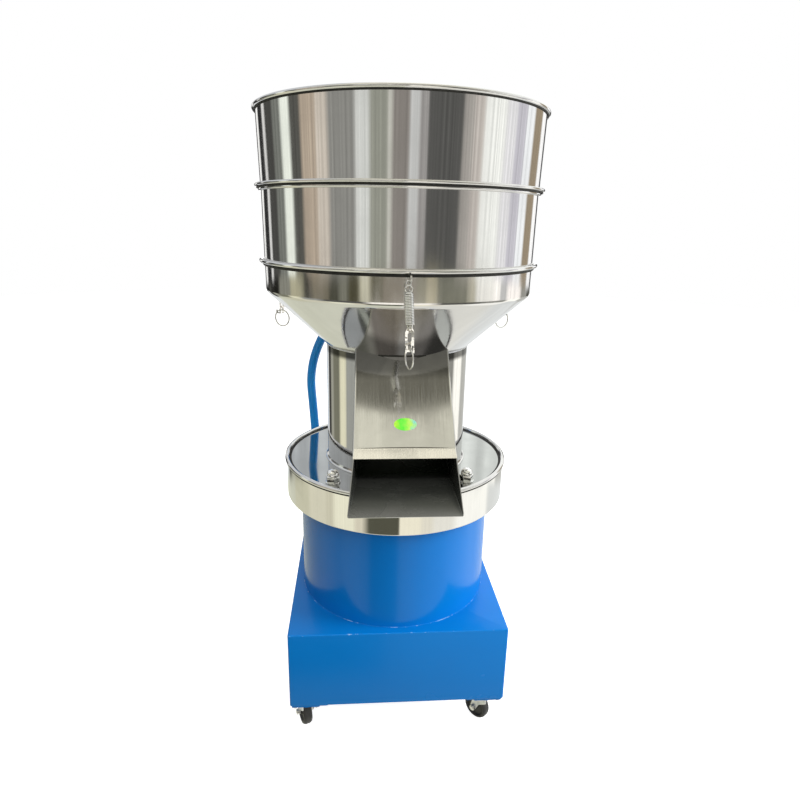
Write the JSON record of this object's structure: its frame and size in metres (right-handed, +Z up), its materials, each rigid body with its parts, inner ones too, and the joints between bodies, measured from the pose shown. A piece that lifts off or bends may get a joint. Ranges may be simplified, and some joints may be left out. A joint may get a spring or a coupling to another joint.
{
  "type": "vibrating sieve",
  "caption": "Round vibrating sieve: steel hopper and mesh ring on a funnel with a front chute, over a sprung motor drum on a blue wheeled cabinet.",
  "frame": {"origin": "on the machine's upright axis, at floor level under the wheels", "axes": "+Z up, -Y out of the discharge chute, +X to the right seen from the front"},
  "size_m": [0.602, 0.6306, 1.346],
  "materials": {
    "polished_steel": "mirror-polished stainless sheet",
    "satin_steel": "satin stainless sheet",
    "fasteners": "bright stainless fasteners",
    "zinc": "zinc-plated pressed steel",
    "spring_steel": "bright spring wire",
    "blue_paint": "glossy blue enamel",
    "motor_paint": "grey motor enamel",
    "cast_iron": "cast weights",
    "mesh_wire": "fine woven wire",
    "silicone": "soft translucent sealing strip",
    "hose_blue": "smooth blue hose",
    "black_plastic": "moulded black plastic",
    "tyre_black": "hard black rubber wheel"
  },
  "bodies": {
    "base": {"base_cabinet": "blue_paint", "corner_plates": "blue_paint", "caster_mounts": "zinc", "caster_bolts": "fasteners", "drum": "blue_paint", "spring_seats_low": "zinc", "support_springs": "spring_steel", "hose": "hose_blue", "hose_spigot_low": "satin_steel", "hose_clamp_low": "zinc", "switch_box": "black_plastic"},
    "shaker": {"cap_plate": "polished_steel", "cap_skirt": "polished_steel", "studs": "fasteners", "washers": "fasteners", "dome_nuts": "fasteners", "spring_seats_high": "zinc", "chute": "satin_steel", "neck": "polished_steel", "funnel": "polished_steel", "gasket": "silicone", "deflector": "satin_steel", "motor_bracket": "motor_paint", "motor_housing": "motor_paint", "motor_bell_low": "motor_paint", "motor_bell_high": "motor_paint", "motor_bearings": "satin_steel", "motor_bolts": "fasteners", "clamp_lugs": "satin_steel", "hose_spigot_high": "satin_steel", "hose_clamp_high": "zinc"},
    "rotor": {"motor_shaft": "satin_steel", "weight_high": "cast_iron", "weight_low": "cast_iron"},
    "sieve_frame": {"sieve_ring": "polished_steel", "mesh_hoop": "polished_steel", "mesh": "mesh_wire"},
    "hopper": {"hopper_ring": "polished_steel"},
    "knob": {"switch_knob": "black_plastic"},
    "clamp_front": {"clamp_spring_front": "spring_steel"},
    "hook_front": {"clamp_hook_front": "fasteners"},
    "ring_front": {"pull_ring_front": "fasteners"},
    "clamp_left": {"clamp_spring_left": "spring_steel"},
    "hook_left": {"clamp_hook_left": "fasteners"},
    "ring_left": {"pull_ring_left": "fasteners"},
    "clamp_right": {"clamp_spring_right": "spring_steel"},
    "hook_right": {"clamp_hook_right": "fasteners"},
    "ring_right": {"pull_ring_right": "fasteners"},
    "fork_front_left": {"caster_fork_front_left": "zinc", "caster_axle_front_left": "fasteners"},
    "wheel_front_left": {"caster_wheel_front_left": "tyre_black"},
    "fork_front_right": {"caster_fork_front_right": "zinc", "caster_axle_front_right": "fasteners"},
    "wheel_front_right": {"caster_wheel_front_right": "tyre_black"},
    "fork_rear_left": {"caster_fork_rear_left": "zinc", "caster_axle_rear_left": "fasteners"},
    "wheel_rear_left": {"caster_wheel_rear_left": "tyre_black"},
    "fork_rear_right": {"caster_fork_rear_right": "zinc", "caster_axle_rear_right": "fasteners"},
    "wheel_rear_right": {"caster_wheel_rear_right": "tyre_black"}
  },
  "joints": [
    {"name": "shaker_bounce", "type": "slide", "parent": "base", "child": "shaker", "axis": [0, 0, 1], "range_m": [-0.004, 0.004], "stiffness_N_per_m": 60000, "springref_m": 0.00906, "deforming": ["support_springs", "hose"]},
    {"name": "rotor_spin", "type": "hinge", "parent": "shaker", "child": "rotor", "pos_m": [0, 0, 0.497], "axis": [0, 0, 1], "continuous": true},
    {"name": "sieve_lift", "type": "slide", "parent": "shaker", "child": "sieve_frame", "axis": [0, 0, 1], "range_m": [0, 0.25]},
    {"name": "hopper_lift", "type": "slide", "parent": "sieve_frame", "child": "hopper", "axis": [0, 0, 1], "range_m": [0, 0.2]},
    {"name": "knob_turn", "type": "hinge", "parent": "base", "child": "knob", "pos_m": [0.12, 0.2944, 0.186], "axis": [0, 1, 0], "range_deg": [0, 90]},
    {"name": "clamp_front_swing", "type": "hinge", "parent": "shaker", "child": "clamp_front", "pos_m": [0, -0.306, 1.0405], "axis": [-1, 0, 0], "range_deg": [0, 170]},
    {"name": "hook_front_pull", "type": "slide", "parent": "clamp_front", "child": "hook_front", "axis": [0, 0, -1], "range_m": [0, 0.04], "stiffness_N_per_m": 900, "springref_m": -0.003, "deforming": ["clamp_spring_front"]},
    {"name": "ring_front_tip", "type": "hinge", "parent": "hook_front", "child": "ring_front", "pos_m": [0, -0.306, 0.921], "axis": [-0.9613, -0.2756, 0], "range_deg": [-12, 12]},
    {"name": "clamp_left_swing", "type": "hinge", "parent": "shaker", "child": "clamp_left", "pos_m": [-0.27265, 0.13892, 1.0405], "axis": [0.454, 0.891, 0], "range_deg": [0, 170]},
    {"name": "hook_left_pull", "type": "slide", "parent": "clamp_left", "child": "hook_left", "axis": [0, 0, -1], "range_m": [0, 0.04], "stiffness_N_per_m": 900, "springref_m": -0.003, "deforming": ["clamp_spring_left"]},
    {"name": "ring_left_tip", "type": "hinge", "parent": "hook_left", "child": "ring_left", "pos_m": [-0.27265, 0.13892, 0.921], "axis": [0.454, 0.891, 0], "range_deg": [-12, 12]},
    {"name": "clamp_right_swing", "type": "hinge", "parent": "shaker", "child": "clamp_right", "pos_m": [0.27265, 0.13892, 1.0405], "axis": [0.454, -0.891, 0], "range_deg": [0, 170]},
    {"name": "hook_right_pull", "type": "slide", "parent": "clamp_right", "child": "hook_right", "axis": [0, 0, -1], "range_m": [0, 0.04], "stiffness_N_per_m": 900, "springref_m": -0.003, "deforming": ["clamp_spring_right"]},
    {"name": "ring_right_tip", "type": "hinge", "parent": "hook_right", "child": "ring_right", "pos_m": [0.27265, 0.13892, 0.921], "axis": [0.454, -0.891, 0], "range_deg": [-12, 12]},
    {"name": "fork_front_left_swivel", "type": "hinge", "parent": "base", "child": "fork_front_left", "pos_m": [-0.207, -0.207, 0.06], "axis": [0, 0, 1], "continuous": true},
    {"name": "wheel_front_left_roll", "type": "hinge", "parent": "fork_front_left", "child": "wheel_front_left", "pos_m": [-0.21384, -0.18821, 0.031], "axis": [0.9397, 0.342, 0], "continuous": true},
    {"name": "fork_front_right_swivel", "type": "hinge", "parent": "base", "child": "fork_front_right", "pos_m": [0.207, -0.207, 0.06], "axis": [0, 0, 1], "continuous": true},
    {"name": "wheel_front_right_roll", "type": "hinge", "parent": "fork_front_right", "child": "wheel_front_right", "pos_m": [0.19414, -0.19168, 0.031], "axis": [0.766, 0.6428, 0], "continuous": true},
    {"name": "fork_rear_left_swivel", "type": "hinge", "parent": "base", "child": "fork_rear_left", "pos_m": [-0.207, 0.207, 0.06], "axis": [0, 0, 1], "continuous": true},
    {"name": "wheel_rear_left_roll", "type": "hinge", "parent": "fork_rear_left", "child": "wheel_rear_left", "pos_m": [-0.19553, 0.22338, 0.031], "axis": [0.8192, -0.5736, 0], "continuous": true},
    {"name": "fork_rear_right_swivel", "type": "hinge", "parent": "base", "child": "fork_rear_right", "pos_m": [0.207, 0.207, 0.06], "axis": [0, 0, 1], "continuous": true},
    {"name": "wheel_rear_right_roll", "type": "hinge", "parent": "fork_rear_right", "child": "wheel_rear_right", "pos_m": [0.20284, 0.22656, 0.031], "axis": [0.9781, 0.2079, 0], "continuous": true}
  ]
}
